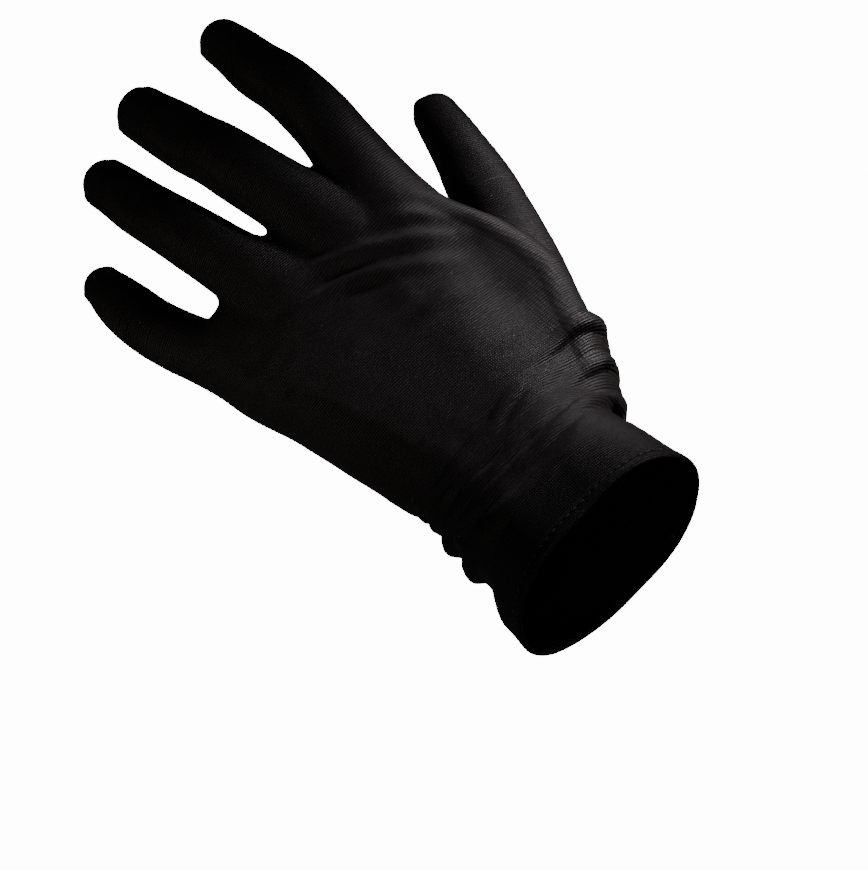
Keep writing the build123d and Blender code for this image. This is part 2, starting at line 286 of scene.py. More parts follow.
def spline(values, count=240):
    """A smooth curve through the rows of values, as a table over 0..len-1."""
    values = np.asarray(values, float).reshape(len(values), -1)
    slopes = np.gradient(values, axis=0)
    u = np.linspace(0, len(values) - 1, count)
    i = np.clip(u.astype(int), 0, len(values) - 2)
    t = (u - i)[:, None]
    h = [2 * t**3 - 3 * t**2 + 1, t**3 - 2 * t**2 + t, 3 * t**2 - 2 * t**3, t**3 - t**2]
    return u, h[0] * values[i] + h[1] * slopes[i] + h[2] * values[i + 1] + h[3] * slopes[i + 1]


def looked_up(u, table):
    return np.stack([np.interp(u, table[0], column) for column in table[1].T], axis=1)


class Digit:
    """A finger or the thumb: its joints' centres, radii and backs, and the curve through them."""

    def __init__(self, points, radii, backs):
        self.points = points
        self.radii = radii
        self.backs = backs
        ball = points[-1] - unit(points[-1] - points[-2]) * radii[-1]
        rows = np.column_stack([np.vstack([points[:-1], ball]), radii, backs])
        table = spline(rows, 3 * BONE_STEPS + 1)[1]
        self.path, self.girth, self.over = table[:, :3], table[:, 3], table[:, 4:]
        self.runs = np.linalg.norm(np.diff(self.path, axis=0), axis=1)
        self.starts = np.concatenate([[0.0], np.cumsum(self.runs)])
        self.lengths = np.diff(self.starts[::BONE_STEPS])

    def distance(self, p):
        """How far outside the digit p is, near it; DIGIT_REACH elsewhere."""
        margin = self.radii.max() + DIGIT_REACH
        near = np.all((p > self.path.min(0) - margin) & (p < self.path.max(0) + margin), axis=1)
        total = np.full(len(p), DIGIT_REACH)
        part = p[near]
        best = np.full(len(part), np.inf)
        for start, run, length, girth, change in zip(
            self.path, np.diff(self.path, axis=0), self.runs, self.girth, np.diff(self.girth)
        ):
            share = np.clip((part - start) @ run / length**2, 0.0, 1.0)
            offset = part - start - share[:, None] * run
            best = np.minimum(best, np.sqrt((offset**2).sum(1)) - girth - change * share)
        total[near] = np.minimum(best, DIGIT_REACH)
        return total

    def place(self, p):
        """Along the digit, towards the thumb side and out of its back, in mm, with the radius there."""
        best = np.full(len(p), np.inf)
        along, across, height, radius = (np.zeros(len(p)) for _ in range(4))
        last = len(self.runs) - 1
        for i, length in enumerate(self.runs):
            direction = (self.path[i + 1] - self.path[i]) / length
            t = (p - self.path[i]) @ direction
            t_in = np.clip(t, 0.0 if i else -EVERYWHERE, length if i < last else EVERYWHERE)
            offset = p - self.path[i] - t_in[:, None] * direction
            far = (offset**2).sum(1)
            nearer = far < best
            share = np.clip(t / length, 0.0, 1.0)[:, None]
            back = self.over[i] * (1 - share) + self.over[i + 1] * share
            side = np.cross(direction, back)
            best = np.where(nearer, far, best)
            along = np.where(nearer, self.starts[i] + t_in, along)
            across = np.where(nearer, (offset * side).sum(1), across)
            height = np.where(nearer, (offset * back).sum(1), height)
            here = self.girth[i] + (self.girth[i + 1] - self.girth[i]) * share[:, 0]
            radius = np.where(nearer, here, radius)
        return along, across, height, radius


# How far each fingertip leans towards the thumb from its CAD place.
TIP_LEAN = {"index": 0.5, "middle": 0.9, "ring": 1.3, "little": 1.5}

# The web of the thumb, from the middle of the wrist: place ahead, its edge's place towards the
# thumb, the edge's height, and the half thickness at the edge and in the hand.
THUMB_WEB = (
    (-2.0, 32.0, -4.0, 9.0, 14.5),
    (10.0, 41.6, -3.0, 10.0, 15.5),
    (20.0, 45.4, -1.5, 9.5, 15.5),
    (35.0, 50.0, 0.5, 8.0, 15.0),
    (46.5, 48.8, 1.5, 7.0, 14.5),
    (56.5, 45.8, 2.0, 6.0, 13.5),
    (70.0, 40.6, 2.0, 5.5, 12.0),
    (76.0, 38.6, 1.5, 5.5, 11.0),
    (90.0, 35.5, 0.0, 6.0, 10.0),
)
WEB_START = (14.0, -0.5)  # where its thickest part runs: towards the thumb, and up


class Form:
    """The hand that fills the glove, as a distance function in millimetres."""

    def __init__(self):
        s = sizes()
        joints = {j["name"]: j for j in frame["joints"]}
        pivot = {name: np.array(j["pos_m"]) / MM for name, j in joints.items()}
        self.wrist = pivot["wrist_bend"]
        self.cuff_direction = unit(self.wrist)
        self.digits = {}
        for name in FINGERS:
            length, spread, rise = getattr(s, f"{name}_bases")
            radii = millimetres(getattr(s, f"{name}_radii"))
            tip = self.tip_of(f"{name}_end_palm", pivot[f"{name}_end_bend"])
            self.digits[name] = self.finger(name, radii, tip, pivot, length, spread, rise)
        radii = millimetres(s.thumb_radii)
        axis = -np.array(joints["thumb_end_bend"]["axis"])
        run = unit(pivot["thumb_end_bend"] - pivot["thumb_base_bend"])
        back = unit(np.cross(axis, run))
        base = pivot["thumb_base_bend"] + back * (JOINT_DROP * radii[1])
        end = pivot["thumb_end_bend"] + back * (JOINT_DROP * radii[2])
        tip = end + heading(*THUMB_TIP[:2]) * THUMB_TIP[2]
        root = self.wrist + millimetres(s.thumb_root)
        self.digits["thumb"] = Digit(np.array([root, base, end, tip]), radii, np.array([back] * 4))
        first = [self.digits[name].points[0] for name in FINGERS]
        line = first[0] - first[3]
        self.knuckle_centre = (first[0] + first[3]) / 2
        self.knuckle_forward = unit(np.cross(UP, line * [1, 1, 0]))
        turn = radians(WEB_TURN)
        f = self.knuckle_forward
        turned = [cos(turn) * f[0] - sin(turn) * f[1], sin(turn) * f[0] + cos(turn) * f[1], 0]
        self.web_forward = np.array(turned)
        knuckle_width = np.linalg.norm(line) + millimetres(s.index_radii)[0] + millimetres(s.little_radii)[0]
        self.web_centre = self.knuckle_centre + f * millimetres(s.web_reach)
        to_knuckles = self.knuckle_centre - self.wrist
        middle = (millimetres(s.opening) + millimetres(s.wrist)) / 2
        stations = [
            (self.wrist * 0.0, self.cuff_direction, *millimetres(s.opening)),
            (self.wrist * 0.4, self.cuff_direction, *middle),
            (self.wrist, unit(self.cuff_direction + AHEAD), *millimetres(s.wrist)),
            (self.wrist + to_knuckles / 3, AHEAD, *millimetres(s.heel)),
            (self.wrist + to_knuckles * 2 / 3, AHEAD, *millimetres(s.palm)),
            (self.knuckle_centre, f, knuckle_width, millimetres(s.knuckle_height)),
            (self.web_centre, self.web_forward, knuckle_width - WEB_NARROWING, millimetres(s.web_height)),
        ]
        self.centres = np.array([row[0] for row in stations])
        self.normals = np.array([row[1] for row in stations])
        self.centre_table = spline(self.centres)
        self.normal_table = spline(self.normals)
        self.half_table = spline([(row[2] / 2, row[3] / 2) for row in stations])
        self.crown_table = spline([0.0, 0.0, 0.0, 0.5, 1.0, 1.0, 0.6])
        self.crown = millimetres(s.crown)

    def tip_of(self, node, pivot):
        """The node's farthest point from a pivot."""
        co = np.array([v.co for v in frame["nodes"][node].data.vertices]) / MM
        return co[np.argmax(((co - pivot) ** 2).sum(1))]

    def finger(self, name, radii, tip, pivot, length, spread, rise):
        """A finger on its two joints, its first bone given by length, spread and rise."""
        mid, end = pivot[f"{name}_middle_bend"], pivot[f"{name}_end_bend"]
        run = unit(end - mid)
        side = unit(np.cross(run, UP))
        back = np.cross(side, run)
        mid, end = mid + back * (JOINT_DROP * radii[1]), end + back * (JOINT_DROP * radii[2])
        first = heading(spread, rise)
        knuckle = mid - first * length
        last = unit(tip - end)
        tip = end + last * ((tip - end) @ last)
        tip = tip + unit(np.cross(last, back)) * TIP_LEAN[name]
        backs = [unit(np.cross(np.cross(d, UP), d)) for d in (first, run, last, last)]
        return Digit(np.array([knuckle, mid, end, tip]), radii, np.array(backs))

    def hand_place(self, p):
        """Where p lies in the hand: station number, across, up, half sizes and how far past the webs."""
        h = np.stack([(p - c) @ n for c, n in zip(self.centres, self.normals)], axis=1)
        u = np.clip(h[:, :-1] / np.maximum(h[:, :-1] - h[:, 1:], 1e-6), 0.0, 1.0).sum(1)
        centre = looked_up(u, self.centre_table)
        normal = looked_up(u, self.normal_table)
        normal /= np.linalg.norm(normal, axis=1)[:, None]
        across = THUMBWARDS - normal * normal[:, :1]
        across /= np.linalg.norm(across, axis=1)[:, None]
        up = np.cross(across, normal)
        offset = p - centre
        half = looked_up(u, self.half_table)
        x, y = (offset * across).sum(1), (offset * up).sum(1)
        return u, x, y, half[:, 0], half[:, 1], h[:, -1]

    def hand_distance(self, p):
        u, x, y, half_width, half_height, past = self.hand_place(p)
        crown = self.crown * looked_up(u, self.crown_table)[:, 0]
        arched = y + crown * ((x / half_width) ** 2 - 0.35)
        flat = np.maximum(np.abs(x) - (half_width - half_height), 0.0)
        return smooth_max(np.hypot(flat, arched) - half_height, past, END_ROUND)

    def thumb_web(self, p):
        """The cloth stretched from the index finger's side to the thumb's first joint."""
        place = p - self.wrist
        ahead, edge, height, edge_round, body_round = np.array(THUMB_WEB).T
        y = place[:, 1]
        edge, height, small, large = (
            np.interp(y, ahead, row) for row in (edge, height, edge_round, body_round)
        )
        run_x, run_z = edge - small - WEB_START[0], height - WEB_START[1]
        x, z = place[:, 0] - WEB_START[0], place[:, 2] - WEB_START[1]
        share = np.clip((x * run_x + z * run_z) / (run_x**2 + run_z**2), 0.0, 1.0)
        flat = np.hypot(x - share * run_x, z - share * run_z) - large - (small - large) * share
        ends = np.maximum(ahead[0] - y, y - ahead[-1])
        return smooth_max(flat, ends, WEB_ROUND)

    def __call__(self, p):
        hand = smooth_min(self.hand_distance(p), self.thumb_web(p), WEB_ROUND)
        hand = smooth_min(hand, self.digits["thumb"].distance(p), THUMB_ROUND)
        total = None
        for name in FINGERS:
            joined = smooth_min(hand, self.digits[name].distance(p), FINGER_ROUND)
            total = joined if total is None else smooth_min(total, joined, STALL_ROUND)
        return total

    def slope(self, p, step=0.05):
        """The direction straight out of the surface."""
        corners = np.array([(1, -1, -1), (-1, -1, 1), (-1, 1, -1), (1, 1, 1)], float)
        slope = sum(k * self(p + k * step)[:, None] for k in corners)
        return slope / np.maximum(np.linalg.norm(slope, axis=1), 1e-9)[:, None]


# ------------------------------------------------------------------------ folds and seams
# Wrist gathers: each fold's half width, then angle round the wrist (0 at the back, 90 at the
# thumb's side), place along it and height of the crest.
GATHERS = (
    (2.9, (
        (30, 11.6, 0.0), (50, 12.6, 1.2), (68, 13.8, 2.4),
        (86, 13.4, 3.0), (106, 11.6, 2.0), (132, 9.0, 0.0),
    )),
    (2.2, (
        (-112, 9.6, 0.0), (-92, 9.2, 0.8), (-66, 7.6, 0.9), (-34, 4.8, 1.0),
        (5, 4.5, 1.1), (30, 8.4, 0.9), (46, 12.0, 0.0),
    )),
    (2.3, (
        (-112, 4.0, 0.0), (-92, 4.3, 0.9), (-60, 3.0, 1.1), (-26, 1.0, 1.3),
        (12, 0.6, 1.4), (34, 3.6, 1.2), (61, 7.2, 0.8), (78, 8.4, 0.0),
    )),
    (2.6, ((50, 1.8, 0.0), (70, 3.4, 1.8), (86, 4.4, 2.9), (106, 3.8, 2.0), (130, 3.0, 0.0))),
    (3.1, (
        (-120, -2.4, 0.0), (-92, -2.6, 2.5), (-62, -3.6, 1.7), (-35, -4.8, 1.3),
        (-8, -5.2, 1.4), (24, -1.6, 1.4), (46, 0.6, 0.8), (60, 1.2, 0.0),
    )),
    (2.7, (
        (-72, -7.2, 0.0), (-47, -7.8, 1.1), (-11, -9.8, 1.4), (13, -10.0, 1.4), (42, -7.6, 1.5),
        (62, -6.2, 2.7), (86, -5.4, 3.6), (108, -6.0, 2.3), (136, -7.4, 0.0),
    )),
    (3.7, (
        (-122, -13.0, 0.0), (-92, -13.6, 2.9), (-66, -13.7, 2.1), (-43, -14.2, 1.3), (-16, -16.6, 0.9),
        (0, -18.2, 0.7), (20, -16.6, 0.7), (41, -13.4, 0.6), (62, -12.0, 0.0),
    )),
)
GATHER_DEPTH = 0.9  # mm; how far the cloth sinks between the folds
GATHER_ROUND = 0.2  # mm; how soft the valley between two folds is
PALM_GATHERS = (
    (3.3, ((112, 7.0, 0.0), (150, 5.6, 0.8), (200, 5.0, 0.7), (248, 6.4, 0.0))),
    (3.3, ((104, -1.6, 0.0), (140, -2.4, 1.1), (196, -3.8, 0.9), (256, -1.6, 0.0))),
    (3.3, ((110, -9.6, 0.0), (160, -11.0, 0.8), (214, -10.8, 0.9), (250, -9.6, 0.0))),
)

# Soft folds over the back: crest line from the middle of the wrist, width and height.
BACK_FOLDS = (
    (((-12.0, 83.6), (-1.8, 80.8), (5.8, 77.2), (13.4, 72.8), (26.4, 64.9), (35.0, 59.0)), 2.1, 1.7),
    (((-24.0, 76.4), (-11.4, 74.3), (1.7, 70.7), (14.5, 62.6), (27.4, 53.4)), 1.9, 1.45),
    (((9.5, 46.6), (17.1, 46.0), (24.8, 44.2)), 2.2, 0.9),
    (((21.5, 77.0), (29.2, 72.4), (36.0, 64.6)), 2.0, 0.8),
    (((-25.9, 73.0), (-17.6, 73.0), (-9.3, 71.6)), 2.2, 0.5),
    (((-39.5, 66.0), (-30.0, 63.3), (-21.4, 64.4)), 2.2, 0.8),
    (((-42.0, 70.0), (-32.0, 69.0), (-22.0, 70.0)), 2.2, 0.7),
    (((-40.0, 58.4), (-28.0, 55.0)), 2.2, 0.6),
    (((-13.0, 55.4), (-1.0, 54.0), (10.0, 50.6)), 2.4, 0.5),
)


def near_line(points, line):
    """Distance from a line of points and how far along it, from 0 to 1."""
    line = np.asarray(line, float)
    lengths = np.linalg.norm(np.diff(line, axis=0), axis=1)
    starts = np.concatenate([[0.0], np.cumsum(lengths)])
    best = np.full(len(points), np.inf)
    along = np.zeros(len(points))
    for i, length in enumerate(lengths):
        direction = (line[i + 1] - line[i]) / length
        t = np.clip((points - line[i]) @ direction, 0.0, length)
        far = np.linalg.norm(points - line[i] - t[:, None] * direction, axis=1)
        along = np.where(far < best, starts[i] + t, along)
        best = np.minimum(best, far)
    return best, along / starts[-1]


def gathers(form, p):
    """How far the cloth stands out where it bunches at the wrist."""
    axis = unit(form.cuff_direction + AHEAD)
    offset = p - form.wrist
    s = offset @ axis
    x = offset @ THUMBWARDS
    z = offset @ np.cross(THUMBWARDS, axis)
    angle = np.degrees(np.arctan2(x / 28.0, z / 20.0))
    s = s + 0.55 * ripple(p, 17.0, 3)
    near = step_between(s, -30.0, -20.0) * (1.0 - step_between(s, 16.0, 24.0))
    total = -GATHER_DEPTH * near
    for turned, folds in ((angle, GATHERS), (angle % 360.0, PALM_GATHERS)):
        for width, fold in folds:
            turn, place, crest = np.array(fold, float).T
            off = (s - np.interp(turned, turn, place)) / width
            height = np.interp(turned, turn, crest, left=0.0, right=0.0)
            total = smooth_max(total, height * (1.0 - off * off), GATHER_ROUND)
    fine = 0.10 * ripple(p * [1.0, 2.6, 1.6], 7.0, 5)
    # On the little finger's side the cuff hangs off the arm, and dips before and after the gathers.
    drape = 3.6 * step_between(-s, 22.0, 32.0) - 1.4 * bell(s - 8.0, 6.0) - 1.0 * bell(s + 21.0, 3.0)
    return (total + fine) * near + drape * bell(angle + 92.0, 42.0)


def soft_folds(form, p, n):
    """How far the drawn folds of the back stand out."""
    flat = (p - form.wrist)[:, :2]
    total = np.zeros(len(p))
    for line, width, height in BACK_FOLDS:
        far, along = near_line(flat, line)
        taper = np.sin(pi * np.clip(along, 0.03, 0.97)) ** 0.7
        total += height * taper * (bell(far, width) - 0.35 * bell(far - 2.1 * width, width))
    return total * step_between(n[:, 2], 0.0, 0.35)


def slack(p):
    """The faint unevenness of stretched cloth."""
    return 0.16 * ripple(p, 21.0, 11) + 0.05 * ripple(p, 8.0, 12)


def tip_corners(form, p):
    """The small corners that the fourchettes' seams make at the fingertips."""
    total = np.zeros(len(p))
    for digit in form.digits.values():
        ahead = unit(digit.points[-1] - digit.points[-2])
        side = np.cross(ahead, digit.backs[-1])
        radius = digit.radii[-1]
        centre = digit.points[-1] - ahead * radius
        for sign in (-1.0, 1.0):
            corner = centre + (side * (sign * 0.74) + ahead * 0.62) * radius
            total += 1.2 * bell(np.linalg.norm(p - corner, axis=1), 0.30 * radius)
    return total


def groove(field, along, depth=0.28):
    """The valley that a seam draws and the small puckers beside it."""
    pucker = 0.07 * np.sin(2 * pi * along / 2.4) * bell(field, 1.9)
    return pucker - depth * bell(field, 0.62)


# ---------------------------------------------------------------------- cloth as one mesh
class Cloth:
    """Triangles with columns of values at their corners, cut into pieces along fields."""

    def __init__(self, triangles, columns):
        self.triangles = triangles
        self.columns = columns

    def middle(self, name):
        return self.columns[name][self.triangles].mean(1)

    def digit(self):
        """The number of the finger that each triangle is nearest to."""
        return np.argmin(self.middle("reach")[:, :4], axis=-1)

    def in_thumb(self):
        return self.middle("thumb") > 0

    def in_stall(self):
        return ~self.in_thumb() & (self.middle("past_base") > 0)

    def in_web(self):
        return ~self.in_thumb() & ~self.in_stall() & np.any([self.middle(web) > 0 for web in WEBS], axis=0)

    def in_fourchette(self):
        digit = self.digit()
        sides = [(i, side) for i, name in enumerate(FINGERS) for side in FOURCHETTES[name]]
        beside = np.any([(digit == i) & (self.middle(side) > 0) for i, side in sides], axis=0)
        return self.in_stall() & beside

    def cut(self, name, where):
        """Divides the triangles in where along the zero line of a column."""
        field = self.columns[name]
        field[np.abs(field) < 0.05] = 0.0
        signs = np.sign(field[self.triangles])
        mixed = where & (signs.min(1) < 0) & (signs.max(1) > 0)
        corners, signs = self.triangles[mixed], signs[mixed]
        touching = (signs == 0).any(1)
        odd_one = np.argmax(signs == -np.sign(signs.sum(1))[:, None], 1)
        lone = np.where(touching, np.argmax(signs == 0, 1), odd_one)
        rolled = corners[np.arange(len(corners))[:, None], (lone[:, None] + np.arange(3)) % 3]
        a, b, c = rolled[~touching].T
        z, d, e = rolled[touching].T
        crossed = np.sort(np.concatenate([np.stack([a, b], 1), np.stack([a, c], 1), np.stack([d, e], 1)]), 1)
        edges, found = np.unique(crossed, axis=0, return_inverse=True)
        found = found.ravel()
        fresh = len(field) + found
        low, high = field[edges[:, 0]], field[edges[:, 1]]
        share = low / (low - high)
        for key, column in self.columns.items():
            w = share if column.ndim == 1 else share[:, None]
            between = column[edges[:, 0]] * (1 - w) + column[edges[:, 1]] * w
            self.columns[key] = np.concatenate([column, between])
        self.columns[name][len(field):] = 0.0
        k = len(a)
        ab, ac, de = fresh[:k], fresh[k:2 * k], fresh[2 * k:]
        made = [(a, ab, ac), (ab, b, c), (ab, c, ac), (z, d, de), (z, de, e)]
        self.triangles = np.concatenate([self.triangles[~mixed]] + [np.stack(row, 1) for row in made])
        return self


def corner_normals(points, triangles):
    a, b, c = (points[triangles[:, i]] for i in range(3))
    face = np.cross(b - a, c - a)
    total = np.zeros_like(points)
    for i in range(3):
        np.add.at(total, triangles[:, i], face)
    return total / np.maximum(np.linalg.norm(total, axis=1), 1e-12)[:, None]


def surface_of(form, step):
    """The form's surface as points and triangles."""
    coarse = 4
    low, high = np.array([-74.0, -3.0, -58.0]), np.array([74.0, 226.0, 30.0])
    blocks = np.ceil((high - low) / (step * coarse)).astype(int)
    index = np.stack(np.meshgrid(*[np.arange(n) for n in blocks], indexing="ij"), -1).reshape(-1, 3)
    middle = low + (index + 0.5) * (step * coarse) - step / 2
    rough = form(middle)
    field = np.repeat(np.repeat(np.repeat(rough.reshape(blocks), coarse, 0), coarse, 1), coarse, 2)
    close = index[np.abs(rough) < 1.1 * step * coarse]
    within = np.stack(np.meshgrid(*[np.arange(coarse)] * 3, indexing="ij"), -1).reshape(-1, 3)
    cells = (close[:, None, :] * coarse + within[None]).reshape(-1, 3)
    values = np.concatenate([form(part) for part in np.array_split(low + cells * step, 8)])
    field[cells[:, 0], cells[:, 1], cells[:, 2]] = values
    grid = openvdb.FloatGrid(float(step * 3))
    grid.copyFromArray(np.ascontiguousarray(field, dtype=np.float32))
    points, quads = grid.convertToQuads(0.0)
    points = low + np.asarray(points, float) * step
    quads = np.asarray(quads, np.int64)
    for _ in range(2):
        points = points - form.slope(points) * form(points)[:, None]
    across = np.linalg.norm(points[quads[:, 0]] - points[quads[:, 2]], axis=1)
    other = np.linalg.norm(points[quads[:, 1]] - points[quads[:, 3]], axis=1)
    short = across < other
    one, two = quads[short], quads[~short]
    triangles = np.concatenate([one[:, [0, 1, 2]], one[:, [0, 2, 3]], two[:, [0, 1, 3]], two[:, [1, 2, 3]]])
    return points, triangles


def columns_of(form, p):
    """Where every point lies on the hand and on its digits, and the fields that part the cut pieces."""
    s = sizes()
    columns = {"place": p, "reach": np.stack([form.digits[n].distance(p) for n in (*FINGERS, "thumb")], 1)}
    digit = np.argmin(columns["reach"][:, :4], axis=-1)
    u, x, y, half_width, half_height, past = form.hand_place(p)
    flat = np.clip(x, -(half_width - half_height), half_width - half_height)
    steps = np.linalg.norm(np.diff(form.centres, axis=0), axis=1)
    run = np.interp(u, range(len(steps) + 1), np.concatenate([[0], np.cumsum(steps)]))
    bend = np.arctan2(x - flat, np.abs(y)) * half_height
    columns["hand_map"] = np.stack([flat + bend, run + np.maximum(past, 0.0)], 1)
    cuff = p @ form.cuff_direction
    columns["past_hem"] = np.where(u < 1.8, cuff - millimetres(s.hem_depth), EVERYWHERE)
    columns["past_wrist"] = (p - form.wrist) @ AHEAD - SLEEVE_SEAM
    places = {name: form.digits[name].place(p) for name in (*FINGERS, "thumb")}
    coronal = y.copy()
    share = s.seam_share
    finger_map, seam = np.zeros((len(p), 2)), {side: np.zeros(len(p)) for side in SIDES}
    base_field, mid_field = np.zeros(len(p)), np.zeros(len(p))
    for i, name in enumerate(FINGERS):
        own = digit == i
        along, across, height, radius = places[name]
        lengths = form.digits[name].lengths
        w = step_between(along, 4.0, 0.7 * lengths[0])
        coronal = np.where(own, coronal * (1 - w) + height * w, coronal)
        around = np.arctan2(across, np.abs(height)) * radius
        finger_map = np.where(own[:, None], np.stack([around, along], 1), finger_map)
        base_field = np.where(own, along - STALL_SEAM[name] * lengths[0], base_field)
        mid_field = np.where(own, along - lengths[0] - MIDDLE_SEAM * lengths[1], mid_field)
        for side, sign in SIDES.items():
            seam[side] = np.where(own, sign * across - share * radius, seam[side])
    columns.update(finger_map=finger_map, past_base=base_field, past_mid=mid_field, coronal=coronal, **seam)
    ahead = (p - form.web_centre) @ form.web_forward + FORK_DEPTH
    for i, web in enumerate(WEBS):
        beside = np.where(digit == i + 1, seam["thumb_side"], -EVERYWHERE)
        columns[web] = np.minimum(np.where(digit == i, seam["little_side"], beside), ahead)
    thumb = form.digits["thumb"]
    along, across, height, radius = places["thumb"]
    root = along - MIDDLE_SEAM * thumb.lengths[0]
    columns["thumb"] = smooth_min(root, THUMB_SEAM - columns["reach"][:, 4], THUMB_ROUND)
    columns["past_thumb_base"] = along - thumb.lengths[0] - MIDDLE_SEAM * thumb.lengths[1]
    columns["thumb_coronal"] = height
    columns["thumb_map"] = np.stack([np.arctan2(across, np.abs(height)) * radius, along], 1)
    return columns


def seam_relief(form, p, n, columns):
    """How the seams draw the cloth in."""
    digit = np.argmin(columns["reach"][:, :4], axis=-1)
    total = np.zeros(len(p))
    ahead = step_between((p - form.web_centre) @ form.web_forward, -4.0, 0.5)
    along = columns["finger_map"][:, 1]
    for i, name in enumerate(FINGERS):
        for side in FOURCHETTES[name]:
            total += np.where(digit == i, groove(columns[side], along) * ahead, 0.0)
    root = groove(columns["thumb"], columns["hand_map"][:, 1]) * (1.0 - step_between(n[:, 2], -0.3, 0.2))
    total += root * (1.0 - step_between(columns["past_thumb_base"], -12.0, -6.0))
    outer = step_between(-(p - form.wrist)[:, 0], 10.0, 18.0)
    outer = outer * np.where(digit == 3, 1.0, step_between(-columns["past_wrist"], 0, 10))
    total += outer * groove(columns["coronal"], columns["hand_map"][:, 1], 0.22)
    return total


def make_cloth():
    """The whole outer surface with its folds, cut along every seam and joint."""
    form = Form()
    points, triangles = surface_of(form, millimetres(sizes().mesh_step))
    columns = columns_of(form, points)
    normal = form.slope(points)
    relief = gathers(form, points) + soft_folds(form, points, normal) + slack(points)
    relief += tip_corners(form, points) + seam_relief(form, points, normal, columns)
    points = points + normal * relief[:, None]
    columns["place"] = points
    columns["normal"] = corner_normals(points, triangles)
    cloth = Cloth(triangles, columns)
    cloth.cut("past_hem", np.ones(len(cloth.triangles), bool))
    cloth.triangles = cloth.triangles[cloth.middle("past_hem") > 0]
    cloth.cut("thumb", np.ones(len(cloth.triangles), bool))
    cloth.cut("past_thumb_base", cloth.in_thumb())
    cloth.cut("thumb_coronal", cloth.in_thumb())
    cloth.cut("past_base", ~cloth.in_thumb())
    cloth.cut("past_mid", cloth.in_stall())
    for i, name in enumerate(FINGERS):
        for side in FOURCHETTES[name]:
            cloth.cut(side, cloth.in_stall() & (cloth.digit() == i))
    for web in WEBS:
        cloth.cut(web, ~cloth.in_thumb() & ~cloth.in_stall())
    cloth.cut("past_wrist", ~cloth.in_thumb() & ~cloth.in_stall() & ~cloth.in_web())
    cloth.cut("coronal", ~cloth.in_thumb() & ~cloth.in_web() & ~cloth.in_fourchette())
    return form, cloth


_made = {}


def made():
    """The form and its cut cloth, worked out once."""
    if not _made:
        _made["form"], _made["cloth"] = make_cloth()
    return _made["form"], _made["cloth"]


# ------------------------------------------------------------------------- mesh and pieces
def mesh_object(name, points, faces, uv=None, normals=None):
    """A mesh object in metres from points in millimetres, with its cloth map in millimetres."""
    mesh = bpy.data.meshes.new(name)
    mesh.from_pydata((np.asarray(points) * MM).tolist(), [], [tuple(int(i) for i in f) for f in faces])
    mesh.polygons.foreach_set("use_smooth", np.ones(len(mesh.polygons), bool))
    if uv is not None:
        layer = mesh.uv_layers.new(name="cloth")
        corners = np.zeros(len(mesh.loops), np.int32)
        mesh.loops.foreach_get("vertex_index", corners)
        layer.data.foreach_set("uv", np.asarray(uv, np.float32)[corners].ravel())
    if normals is not None:
        mesh.normals_split_custom_set_from_vertices(np.asarray(normals, float).tolist())
    mesh.update()
    made_object = bpy.data.objects.new(name, mesh)
    bpy.context.scene.collection.objects.link(made_object)
    return made_object


def cloth_piece(name, where, chart):
    """A closed sheet: the chosen outer faces, the same faces one thickness inside, and a rim."""
    _, cloth = made()
    used, triangles = np.unique(cloth.triangles[where], return_inverse=True)
    triangles = triangles.reshape(-1, 3)
    points, normals = cloth.columns["place"][used], cloth.columns["normal"][used]
    normals = normals / np.linalg.norm(normals, axis=1)[:, None]
    inner = points - normals * millimetres(sizes().cloth)
    count = len(points)
    edges = np.concatenate([triangles[:, [0, 1]], triangles[:, [1, 2]], triangles[:, [2, 0]]])
    keys = np.sort(edges, 1) @ np.array([count, 1])
    _, first, uses = np.unique(keys, return_index=True, return_counts=True)
    rim = edges[first[uses == 1]]
    walls = np.stack([rim[:, 1], rim[:, 0], rim[:, 0] + count, rim[:, 1] + count], 1)
    faces = [*triangles.tolist(), *(triangles[:, ::-1] + count).tolist(), *walls.tolist()]
    uv = np.tile(cloth.columns[chart][used], (2, 1))
    both = np.concatenate([points, inner])
    piece = mesh_object(name, both, faces, uv, np.concatenate([normals, -normals]))
    piece.data.materials.append(satin_material())
    a, b, c = (points[triangles[:, i]] for i in range(3))
    area = np.linalg.norm(np.cross(b - a, c - a), axis=1).sum() / 2
    return piece, area * MM * MM, np.ptp(points, axis=0) * MM


def lay(name, where, chart, held, nodes, bodies, start=None, end=None):
    """Makes a piece of satin and puts it on its bodies in its nodes' place."""
    piece, area, span = cloth_piece(name, where, chart)
    if len(bodies) == 2:
        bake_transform(piece)
    else:
        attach(piece, *bodies)
    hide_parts(*nodes)


# ------------------------------------------------------------------------------ materials
def socket_of(group, name, kind, in_out, value=None):
    made_socket = group.interface.new_socket(name=name, in_out=in_out, socket_type=kind)
    if value is not None:
        made_socket.default_value = value


def node_of(nodes, kind, **values):
    """A new node, with the values of its inputs by name; an underscore stands for a space."""
    node = nodes.new(kind)
    settle(node, **values)
    return node


def settle(node, **values):
    for name, value in values.items():
        node.inputs[name.replace("_", " ")].default_value = value


def new_group(name, inputs, outputs):
    """A shader node group of numbers, with its input and output nodes."""
    group = bpy.data.node_groups.new(name, "ShaderNodeTree")
    for socket, value in inputs.items():
        socket_of(group, socket, "NodeSocketFloat", "INPUT", value)
    for socket in outputs:
        socket_of(group, socket, "NodeSocketFloat", "OUTPUT")
    return group, group.nodes.new("NodeGroupInput"), group.nodes.new("NodeGroupOutput")


def new_material(name):
    material = bpy.data.materials.new(name)
    material.use_nodes = True
    nodes, links = material.node_tree.nodes, material.node_tree.links
    return material, nodes, links, nodes["Principled BSDF"]


